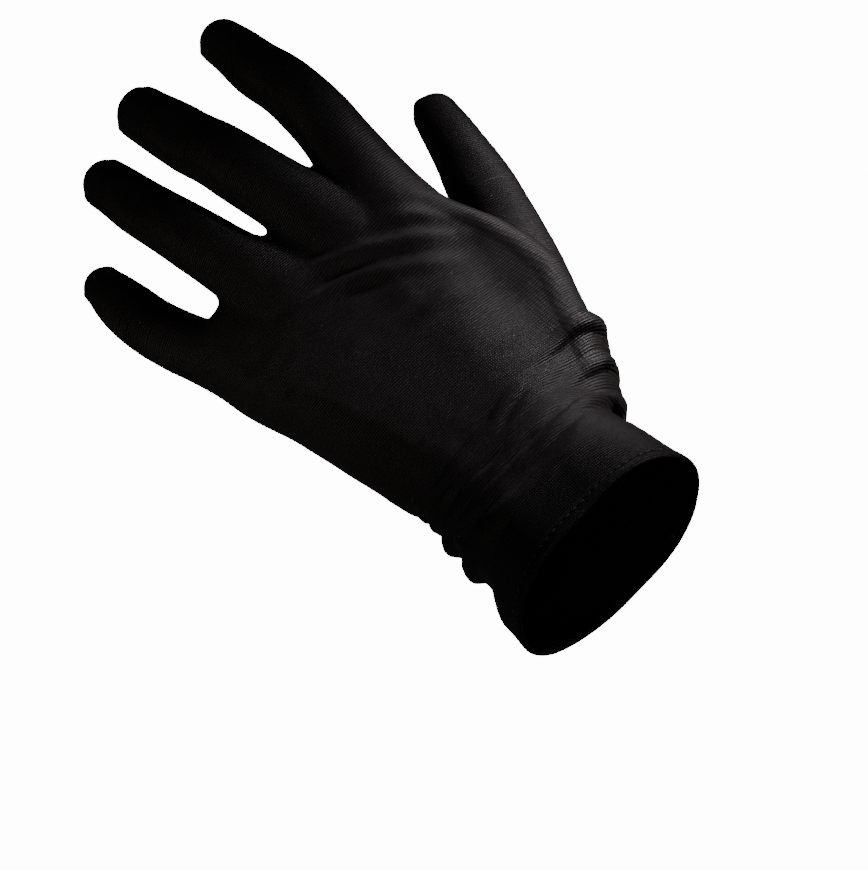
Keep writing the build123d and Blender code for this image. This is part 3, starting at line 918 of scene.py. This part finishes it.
def math_node(nodes, links, operation, first, second=None):
    """A math node fed by sockets or numbers."""
    node = nodes.new("ShaderNodeMath")
    node.operation = operation
    for socket, value in zip(node.inputs, (first, second)):
        if value is None:
            continue
        if isinstance(value, bpy.types.NodeSocket):
            links.new(value, socket)
        else:
            socket.default_value = value
    return node.outputs[0]


def knit_group():
    """Courses and wales of a fine knit on a map in millimetres, as a height and a sheen mask."""
    group = bpy.data.node_groups.get("Fine knit")
    if group:
        return group
    inputs = {"Course Pitch": 0.6, "Wale Pitch": 0.5, "Unevenness": 0.3}
    group, given, out = new_group("Fine knit", inputs, ("Height", "Mask"))
    nodes, links = group.nodes, group.links
    place = nodes.new("ShaderNodeUVMap")
    place.uv_map = "cloth"
    noise = node_of(nodes, "ShaderNodeTexNoise", Scale=0.9, Detail=3.0)
    links.new(place.outputs["UV"], noise.inputs["Vector"])
    split = nodes.new("ShaderNodeSeparateXYZ")
    links.new(place.outputs["UV"], split.inputs["Vector"])
    wander = math_node(nodes, links, "MULTIPLY", noise.outputs["Fac"], given.outputs["Unevenness"])

    def waves(position, pitch):
        turns = math_node(nodes, links, "DIVIDE", math_node(nodes, links, "ADD", position, wander), pitch)
        wave = math_node(nodes, links, "SINE", math_node(nodes, links, "MULTIPLY", turns, 2 * pi))
        return math_node(nodes, links, "ADD", math_node(nodes, links, "MULTIPLY", wave, 0.5), 0.5)

    course = waves(split.outputs["Y"], given.outputs["Course Pitch"])
    wale = waves(split.outputs["X"], given.outputs["Wale Pitch"])
    ribs = math_node(nodes, links, "ADD", math_node(nodes, links, "MULTIPLY", wale, 0.45), 0.55)
    loops = math_node(nodes, links, "MULTIPLY", course, ribs)
    links.new(loops, out.inputs["Height"])
    links.new(math_node(nodes, links, "MULTIPLY", loops, noise.outputs["Fac"]), out.inputs["Mask"])
    return group


def lint_group():
    """Scattered specks of loose fibre, as a mask."""
    group = bpy.data.node_groups.get("Lint")
    if group:
        return group
    inputs = {"Cells Per Metre": 330.0, "Share": 0.16, "Speck": 0.07}
    group, given, out = new_group("Lint", inputs, ("Mask",))
    nodes, links = group.nodes, group.links
    place = nodes.new("ShaderNodeTexCoord")
    cells = nodes.new("ShaderNodeTexVoronoi")
    links.new(place.outputs["Object"], cells.inputs["Vector"])
    links.new(given.outputs["Cells Per Metre"], cells.inputs["Scale"])
    near = math_node(nodes, links, "LESS_THAN", cells.outputs["Distance"], given.outputs["Speck"])
    chosen = nodes.new("ShaderNodeSeparateColor")
    links.new(cells.outputs["Color"], chosen.inputs["Color"])
    some = math_node(nodes, links, "LESS_THAN", chosen.outputs["Red"], given.outputs["Share"])
    links.new(math_node(nodes, links, "MULTIPLY", near, some), out.inputs["Mask"])
    return group


def mix_colours(nodes, links, share, first, second):
    node = nodes.new("ShaderNodeMix")
    node.data_type = "RGBA"
    links.new(share, node.inputs[0])
    for socket, value in ((node.inputs[6], first), (node.inputs[7], second)):
        if isinstance(value, bpy.types.NodeSocket):
            links.new(value, socket)
        else:
            socket.default_value = value
    return node.outputs[2]


def lighter(colour, times):
    """The colour times a number, at most white."""
    return (*[min(1.0, c * times) for c in colour[:3]], 1.0)


def satin_material():
    """Black satin tricot: a fine knit with a soft sheen, given partly by the shader and partly painted
    lighter onto the knit's loops, and a few specks of lint.
    """
    material = bpy.data.materials.get("Black satin")
    if material:
        return material
    look = finish()
    material, nodes, links, shader = new_material("Black satin")
    settle(shader, Sheen_Weight=0.03, Sheen_Roughness=0.42, Specular_IOR_Level=0.38, Anisotropic=0.35)
    knit = nodes.new("ShaderNodeGroup")
    knit.node_tree = knit_group()
    settle(knit, Course_Pitch=look.course_pitch / MM, Wale_Pitch=look.wale_pitch / MM)
    lint = nodes.new("ShaderNodeGroup")
    lint.node_tree = lint_group()
    # Painted sheen: the knit's loops get the satin colour 4.2 times lighter and the gaps between them 0.6
    # times as light, lit and shaded copies of one colour
    dark, bright = lighter(look.satin, 0.6), lighter(look.satin, 4.2)
    shade = mix_colours(nodes, links, knit.outputs["Mask"], dark, bright)
    speckled = mix_colours(nodes, links, lint.outputs["Mask"], shade, tuple(look.lint))
    links.new(speckled, shader.inputs["Base Color"])
    rough = node_of(nodes, "ShaderNodeMapRange", To_Min=look.roughness + 0.07, To_Max=look.roughness - 0.05)
    links.new(knit.outputs["Mask"], rough.inputs["Value"])
    links.new(rough.outputs["Result"], shader.inputs["Roughness"])
    bump = node_of(nodes, "ShaderNodeBump", Strength=0.9, Distance=0.0002)
    links.new(knit.outputs["Height"], bump.inputs["Height"])
    links.new(bump.outputs["Normal"], shader.inputs["Normal"])
    return material


def thread_material():
    """Twisted black sewing thread."""
    material = bpy.data.materials.get("Black thread")
    if material:
        return material
    look = finish()
    material, nodes, links, shader = new_material("Black thread")
    settle(shader, Sheen_Weight=0.2)
    place = nodes.new("ShaderNodeTexCoord")
    twist = node_of(nodes, "ShaderNodeTexWave", Scale=1500.0, Distortion=1.5)
    twist.bands_direction = "DIAGONAL"
    links.new(place.outputs["Object"], twist.inputs["Vector"])
    dark, bright = lighter(look.thread, 0.5), lighter(look.thread, 1.6)
    shade = mix_colours(nodes, links, twist.outputs["Fac"], dark, bright)
    links.new(shade, shader.inputs["Base Color"])
    rough = node_of(nodes, "ShaderNodeMapRange", To_Min=0.6, To_Max=0.42)
    links.new(twist.outputs["Fac"], rough.inputs["Value"])
    links.new(rough.outputs["Result"], shader.inputs["Roughness"])
    bump = node_of(nodes, "ShaderNodeBump", Strength=0.6, Distance=0.0001)
    links.new(twist.outputs["Fac"], bump.inputs["Height"])
    links.new(bump.outputs["Normal"], shader.inputs["Normal"])
    return material


def floor_material():
    """Matt pale paper that shows only from above, so that the palm can be looked at from below."""
    look = bpy.context.scene.glove_stage
    material, nodes, links, shader = new_material("Pale floor")
    settle(shader, Roughness=0.9, Specular_IOR_Level=0.1, Emission_Color=(1.0, 1.0, 1.0, 1.0))
    grain = node_of(nodes, "ShaderNodeTexNoise", Scale=900.0)
    place = nodes.new("ShaderNodeTexCoord")
    links.new(place.outputs["Object"], grain.inputs["Vector"])
    paper = tuple(look.floor)
    shade = mix_colours(nodes, links, grain.outputs["Fac"], lighter(paper, 0.985), paper)
    links.new(shade, shader.inputs["Base Color"])
    seen = nodes.new("ShaderNodeLightPath").outputs["Is Camera Ray"]
    glow = math_node(nodes, links, "MULTIPLY", seen, look.floor_glow)
    links.new(glow, shader.inputs["Emission Strength"])
    below = nodes.new("ShaderNodeNewGeometry").outputs["Backfacing"]
    mix = nodes.new("ShaderNodeMixShader")
    links.new(below, mix.inputs["Fac"])
    links.new(shader.outputs["BSDF"], mix.inputs[1])
    links.new(nodes.new("ShaderNodeBsdfTransparent").outputs["BSDF"], mix.inputs[2])
    links.new(mix.outputs["Shader"], nodes["Material Output"].inputs["Surface"])
    return material


# -------------------------------------------------------------------------------- the hem
def skin(form, turn, along, outset):
    """Points on the cuff's dressed surface: angle round it, place from its opening and how far out."""
    axis = form.cuff_direction
    across = unit(THUMBWARDS - axis * axis[0])
    up = np.cross(across, axis)
    centre = axis * along[:, None]
    ray = up * np.cos(turn)[:, None] + across * np.sin(turn)[:, None]
    # Halves a span across the skin until the skin's place is known to a hundredth of a micron.
    low, high = np.full(len(turn), 8.0), np.full(len(turn), 48.0)
    for _ in range(22):
        middle = (low + high) / 2
        inside = form(centre + ray * middle[:, None]) < 0
        low, high = np.where(inside, middle, low), np.where(inside, high, middle)
    base = centre + ray * low[:, None]
    normal = form.slope(base)
    relief = gathers(form, base) + slack(base)
    return base + normal * (relief + outset)[:, None]


def hem_profile():
    """The turned edge's section: place from the opening and how far out, all the way round it."""
    s = sizes()
    cloth, depth, inset = millimetres(s.cloth), millimetres(s.hem_depth), millimetres(s.stitch_inset)
    fold = cloth + 0.06
    run = np.linspace(depth, fold, 15)
    puff = 0.22 * np.sin(pi * np.clip(run / inset, 0.0, 1.0)) - 0.16 * np.exp(-(((run - inset) / 0.35) ** 2))
    outer = [(a, b) for a, b in zip(run, puff)]
    bend = np.linspace(pi / 2, -pi / 2, 9)[1:-1]
    outer += [(fold - fold * cos(t), -fold + fold * sin(t)) for t in bend]
    outer += [(a, -2 * fold) for a in run[::-1][::3]]
    inner = [(depth, -2 * fold + cloth), (fold, -2 * fold + cloth)]
    inner += [(fold - (fold - cloth) * cos(t), -fold + (fold - cloth) * sin(t)) for t in (-0.7, 0.7)]
    inner += [(fold, -cloth)] + [(a, b - cloth) for a, b in zip(run[::-1][2::3], puff[::-1][2::3])]
    return np.array(outer + inner)


def ring_mesh(form, profile, count):
    """A section carried all the way round the cuff: points, faces and map."""
    turns = np.linspace(0, 2 * pi, count, endpoint=False)
    size = len(profile)
    turn = np.repeat(turns, size)
    along, outset = np.tile(profile[:, 0], count), np.tile(profile[:, 1], count)
    base = skin(form, turn, along, outset)
    edge = 0.30 * ripple(base, 26.0, 21) * (1.0 - np.clip(along / profile[:, 0].max(), 0.0, 1.0))
    points = base + form.cuff_direction * edge[:, None]
    i, j = np.meshgrid(np.arange(count), np.arange(size), indexing="ij")
    i2, j2 = (i + 1) % count, (j + 1) % size
    faces = np.stack([i * size + j, i * size + j2, i2 * size + j2, i2 * size + j], -1).reshape(-1, 4)
    uv = np.stack([turn * CUFF_RADIUS, along + outset], 1)
    return points, faces, uv


def outward(points, faces):
    """The faces turned so that their normals point out."""
    a, b, c = (points[faces[:, i]] for i in range(3))
    d = points[faces[:, 3]]
    volume = (a * np.cross(b, c)).sum() + (a * np.cross(c, d)).sum()
    return faces if volume > 0 else faces[:, ::-1]


def stitch_tree():
    """Stitches laid end to end along a line: pitch, length, width and material."""
    tree = bpy.data.node_groups.new("Row of stitches", "GeometryNodeTree")
    socket_of(tree, "Geometry", "NodeSocketGeometry", "INPUT")
    for name in ("Pitch", "Length", "Width"):
        socket_of(tree, name, "NodeSocketFloat", "INPUT", 0.001)
    socket_of(tree, "Thread", "NodeSocketMaterial", "INPUT")
    socket_of(tree, "Geometry", "NodeSocketGeometry", "OUTPUT")
    nodes, links = tree.nodes, tree.links
    given, out = nodes.new("NodeGroupInput"), nodes.new("NodeGroupOutput")
    curve = nodes.new("GeometryNodeMeshToCurve")
    spaced = nodes.new("GeometryNodeResampleCurve")
    spaced.mode = "LENGTH"
    ball = nodes.new("GeometryNodeMeshUVSphere")
    ball.inputs["Segments"].default_value = 8
    ball.inputs["Rings"].default_value = 6
    ball.inputs["Radius"].default_value = 0.5
    shape = nodes.new("ShaderNodeCombineXYZ")
    laid = nodes.new("GeometryNodeInstanceOnPoints")
    tangent = nodes.new("GeometryNodeInputTangent")
    turn = nodes.new("FunctionNodeAlignRotationToVector")
    turn.axis = "X"
    real = nodes.new("GeometryNodeRealizeInstances")
    painted = nodes.new("GeometryNodeSetMaterial")
    links.new(given.outputs["Geometry"], curve.inputs["Mesh"])
    links.new(curve.outputs["Curve"], spaced.inputs["Curve"])
    links.new(given.outputs["Pitch"], spaced.inputs["Length"])
    links.new(given.outputs["Length"], shape.inputs["X"])
    links.new(given.outputs["Width"], shape.inputs["Y"])
    links.new(given.outputs["Width"], shape.inputs["Z"])
    links.new(spaced.outputs["Curve"], laid.inputs["Points"])
    links.new(ball.outputs["Mesh"], laid.inputs["Instance"])
    links.new(tangent.outputs["Tangent"], turn.inputs["Vector"])
    links.new(turn.outputs["Rotation"], laid.inputs["Rotation"])
    links.new(shape.outputs["Vector"], laid.inputs["Scale"])
    links.new(laid.outputs["Instances"], real.inputs["Geometry"])
    links.new(real.outputs["Geometry"], painted.inputs["Geometry"])
    links.new(given.outputs["Thread"], painted.inputs["Material"])
    links.new(painted.outputs["Geometry"], out.inputs["Geometry"])
    return tree


def with_nodes(name, source, tree, values):
    """A plain mesh of what a geometry node tree makes of an object."""
    modifier = source.modifiers.new("Nodes", "NODES")
    modifier.node_group = tree
    for item in tree.interface.items_tree:
        if item.in_out == "INPUT" and item.name in values:
            modifier[item.identifier] = values[item.name]
    bpy.context.view_layer.update()
    seen = source.evaluated_get(bpy.context.evaluated_depsgraph_get())
    mesh = bpy.data.meshes.new_from_object(seen)
    mesh.name = name
    source.modifiers.remove(modifier)
    bpy.data.objects.remove(source)
    result = bpy.data.objects.new(name, mesh)
    bpy.context.scene.collection.objects.link(result)
    mesh.polygons.foreach_set("use_smooth", np.ones(len(mesh.polygons), bool))
    return result


# ------------------------------------------------------------------------------ operators
class GLOVE_OT_sleeve(bpy.types.Operator):
    """Make the cuff and the gathers at the wrist"""

    bl_idname = "glove.sleeve"
    bl_label = "Sleeve"

    def execute(self, context):
        form, cloth = made()
        rest = hand_faces(cloth) & (cloth.middle("past_wrist") < 0)
        start = form.wrist - form.cuff_direction * WRIST_BEND[0]
        end = form.wrist + AHEAD * WRIST_BEND[1]
        for side, sign in BACK_AND_PALM:
            where = rest & (np.sign(cloth.middle("coronal")) == sign)
            nodes = (f"cuff_{side}", f"gathers_{side}")
            lay(f"satin_sleeve_{side}", where, "hand_map", "gathered", nodes, ("cuff", "hand"), start, end)
        return {"FINISHED"}


class GLOVE_OT_hem(bpy.types.Operator):
    """Make the turned-in edge of the cuff and the stitches that hold it"""

    bl_idname = "glove.hem"
    bl_label = "Hem"

    def execute(self, context):
        s = sizes()
        form, _ = made()
        points, faces, uv = ring_mesh(form, hem_profile(), HEM_STEPS)
        piece = mesh_object("satin_hem", points, outward(points, faces), uv)
        piece.data.materials.append(satin_material())
        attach(piece, "cuff")
        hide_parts("hem_band")
        stitch_row = np.array([(millimetres(s.stitch_inset), 0.02)])
        line, _, _ = ring_mesh(form, stitch_row, HEM_STEPS)
        loop = bpy.data.meshes.new("stitch_line")
        count = len(line)
        loop.from_pydata((line * MM).tolist(), [(i, (i + 1) % count) for i in range(count)], [])
        source = bpy.data.objects.new("stitch_line", loop)
        context.scene.collection.objects.link(source)
        values = {"Pitch": s.stitch_pitch, "Length": s.stitch_length, "Width": s.stitch_width}
        values["Thread"] = thread_material()
        stitches = with_nodes("hem_stitching", source, stitch_tree(), values)
        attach(stitches, "cuff")
        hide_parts("hem_stitches")
        return {"FINISHED"}


def hand_faces(cloth):
    """The faces that belong to neither the thumb, nor a stall, nor a fourchette."""
    rest = (cloth.middle("thumb") < 0) & (cloth.middle("past_base") < 0)
    for web in WEBS:
        rest &= cloth.middle(web) < 0
    return rest


class GLOVE_OT_hand(bpy.types.Operator):
    """Make the back and the palm of the hand"""

    bl_idname = "glove.hand"
    bl_label = "Hand"

    def execute(self, context):
        form, cloth = made()
        rest = hand_faces(cloth) & (cloth.middle("past_wrist") > 0)
        reach = form.knuckle_forward * KNUCKLE_BEND
        start, end = form.knuckle_centre - reach, form.knuckle_centre + reach
        for side, sign in BACK_AND_PALM:
            where = rest & (np.sign(cloth.middle("coronal")) == sign)
            nodes = (f"hand_{side}", f"knuckles_{side}") + (("palm_crease",) if side == "palm" else ())
            lay(f"satin_hand_{side}", where, "hand_map", "stretched", nodes, ("hand", "knuckles"), start, end)
        return {"FINISHED"}


class GLOVE_OT_webs(bpy.types.Operator):
    """Make the fourchettes' forks between the finger bases"""

    bl_idname = "glove.webs"
    bl_label = "Webs"

    def execute(self, context):
        _, cloth = made()
        hand = (cloth.middle("thumb") < 0) & (cloth.middle("past_base") < 0)
        for web in WEBS:
            node = web.replace("web", "fourchette")
            where = hand & (cloth.middle(web) > 0)
            lay(f"satin_{web}", where, "finger_map", "stretched", (node,), ("knuckles",))
        return {"FINISHED"}


class GLOVE_OT_thumb(bpy.types.Operator):
    """Make the set-in thumb"""

    bl_idname = "glove.thumb"
    bl_label = "Thumb"

    def execute(self, context):
        form, cloth = made()
        _, base, end, _ = form.digits["thumb"].points
        run = unit(end - base)
        stretches = (
            ("base", -1.0, ("hand", "thumb_base"), base, THUMB_BASE_BEND,
             {"back": ("thumb_base_back", "thumb_root"), "palm": ("thumb_base_palm", "thumb_root_crease")}),
            ("end", 1.0, ("thumb_base", "thumb_end"), end, THUMB_END_BEND,
             {"back": ("thumb_end_back",), "palm": ("thumb_end_palm", "thumb_end_crease")}),
        )
        for stretch, beyond, bodies, joint, (first, last), nodes in stretches:
            own = (cloth.middle("thumb") > 0) & (np.sign(cloth.middle("past_thumb_base")) == beyond)
            for side, sign in BACK_AND_PALM:
                where = own & (np.sign(cloth.middle("thumb_coronal")) == sign)
                name = f"satin_thumb_{stretch}_{side}"
                span = (joint + run * first, joint + run * last)
                lay(name, where, "thumb_map", "stretched", nodes[side], bodies, *span)
        return {"FINISHED"}


class GLOVE_OT_fingers(bpy.types.Operator):
    """Make the four finger stalls with their fourchettes"""

    bl_idname = "glove.fingers"
    bl_label = "Fingers"

    def execute(self, context):
        form, cloth = made()
        digit = cloth.digit()
        stall = (cloth.middle("thumb") < 0) & (cloth.middle("past_base") > 0)
        past_mid = cloth.middle("past_mid")
        coronal = cloth.middle("coronal")
        for i, name in enumerate(FINGERS):
            points = form.digits[name].points
            stretches = (("mid", -1.0, "knuckles", 1), ("end", 1.0, f"{name}_mid", 2))
            for stretch, beyond, before, joint in stretches:
                own = stall & (digit == i) & (np.sign(past_mid) == beyond)
                reach = FINGER_BEND * np.linalg.norm(points[2] - points[1])
                run = unit(points[joint + 1] - points[joint - 1]) * reach
                start, end = points[joint] - run, points[joint] + run
                beside = {side: own & (cloth.middle(side) > 0) for side in FOURCHETTES[name]}
                flat = own & ~np.any(list(beside.values()), axis=0)
                chosen = {"back": flat & (coronal > 0), "palm": flat & (coronal < 0)}
                chosen.update({f"fourchette_{side}": where for side, where in beside.items()})
                body = f"{name}_{stretch}"
                for part, where in chosen.items():
                    nodes = (f"{body}_{part}",) + ((f"{body}_crease",) if part == "palm" else ())
                    name_of = f"satin_{body}_{part}"
                    lay(name_of, where, "finger_map", "stretched", nodes, (before, body), start, end)
        return {"FINISHED"}


# The lights: place, aim and side in metres, colour, and spread behind their grids in degrees.
SOFTBOXES = {
    "key": ((0.55, 0.13, 0.13), (0.045, 0.068, -0.02), 0.10, (1.0, 0.95, 0.99), 15.0),
    "fill": ((-0.25, -0.45, 0.75), (-0.03, 0.19, -0.02), 0.20, (1.0, 0.93, 0.88), 22.0),
    "rim": ((-0.55, 0.02, 0.22), (-0.02, 0.11, -0.02), 0.12, (1.0, 0.94, 0.90), 20.0),
}
FLOOR_REACH = 3.0  # metres to each side


def softbox(name, watts):
    """A square light turned to its aim, narrowed by a grid."""
    place, aim, side, tint, spread = SOFTBOXES[name]
    light = bpy.data.lights.new(name, "AREA")
    light.size = side
    light.energy = watts
    light.color = tint
    light.spread = radians(spread)
    lamp = bpy.data.objects.new(name, light)
    lamp.location = place
    lamp.rotation_euler = (Vector(aim) - Vector(place)).to_track_quat("-Z", "Y").to_euler()
    bpy.context.scene.collection.objects.link(lamp)


class GLOVE_OT_stage(bpy.types.Operator):
    """Lay the floor, set the lights and place the camera"""

    bl_idname = "glove.stage"
    bl_label = "Stage"

    def execute(self, context):
        look = context.scene.glove_stage
        low, high = (Vector(corner) for corner in cad_box)
        middle = (low + high) / 2
        corners = [
            (middle.x + x * FLOOR_REACH, middle.y + y * FLOOR_REACH, low.z - look.floor_drop)
            for x, y in ((-1, -1), (1, -1), (1, 1), (-1, 1))
        ]
        mesh = bpy.data.meshes.new("floor")
        mesh.from_pydata(corners, [], [(0, 1, 2, 3)])
        mesh.materials.append(floor_material())
        floor = bpy.data.objects.new("floor", mesh)
        context.scene.collection.objects.link(floor)
        for name in SOFTBOXES:
            softbox(name, getattr(look, f"{name}_power"))
        world = bpy.data.worlds.new("studio")
        world.use_nodes = True
        nodes, links = world.node_tree.nodes, world.node_tree.links
        shade = nodes["Background"]
        settle(shade, Color=(1.0, 1.0, 1.0, 1.0))
        seen = nodes.new("ShaderNodeLightPath").outputs["Is Camera Ray"]
        glow = math_node(nodes, links, "MULTIPLY", seen, look.floor_glow)
        links.new(math_node(nodes, links, "ADD", glow, look.world_strength), shade.inputs["Strength"])
        context.scene.world = world
        camera = bpy.data.cameras.new("camera")
        camera.lens = look.lens
        camera.clip_start = 0.01
        eye = bpy.data.objects.new("camera", camera)
        eye.location = look.eye
        eye.rotation_euler = Euler((look.tilt, look.pan, look.roll), "ZXY").to_matrix().to_euler("XYZ")
        context.scene.collection.objects.link(eye)
        context.scene.camera = eye
        return {"FINISHED"}


STEPS = (
    GLOVE_OT_stage,
    GLOVE_OT_sleeve,
    GLOVE_OT_hem,
    GLOVE_OT_hand,
    GLOVE_OT_webs,
    GLOVE_OT_thumb,
    GLOVE_OT_fingers,
)


class GLOVE_PT_parts(bpy.types.Panel):
    """The glove's parts and settings"""

    bl_idname = "GLOVE_PT_parts"
    bl_label = "Satin Glove"
    bl_space_type = "VIEW_3D"
    bl_region_type = "UI"
    bl_category = "Glove"

    def draw(self, context):
        for settings in ("glove_sizes", "glove_finish", "glove_stage"):
            group = getattr(context.scene, settings)
            box = self.layout.box()
            for name in group.__annotations__:
                box.prop(group, name)
        for step in STEPS:
            self.layout.operator(step.bl_idname)


GROUPS = {"glove_sizes": GloveSizes, "glove_finish": GloveFinish, "glove_stage": GloveStage}


def register():
    for name, group in GROUPS.items():
        bpy.utils.register_class(group)
        setattr(bpy.types.Scene, name, PointerProperty(type=group))
    for cls in (*STEPS, GLOVE_PT_parts):
        bpy.utils.register_class(cls)


def unregister():
    for cls in (GLOVE_PT_parts, *reversed(STEPS)):
        bpy.utils.unregister_class(cls)
    for name, group in GROUPS.items():
        delattr(bpy.types.Scene, name)
        bpy.utils.unregister_class(group)


def main():
    register()
    for step in STEPS:
        area, name = step.bl_idname.split(".")
        getattr(getattr(bpy.ops, area), name)()


if __name__ == "__main__":
    main()
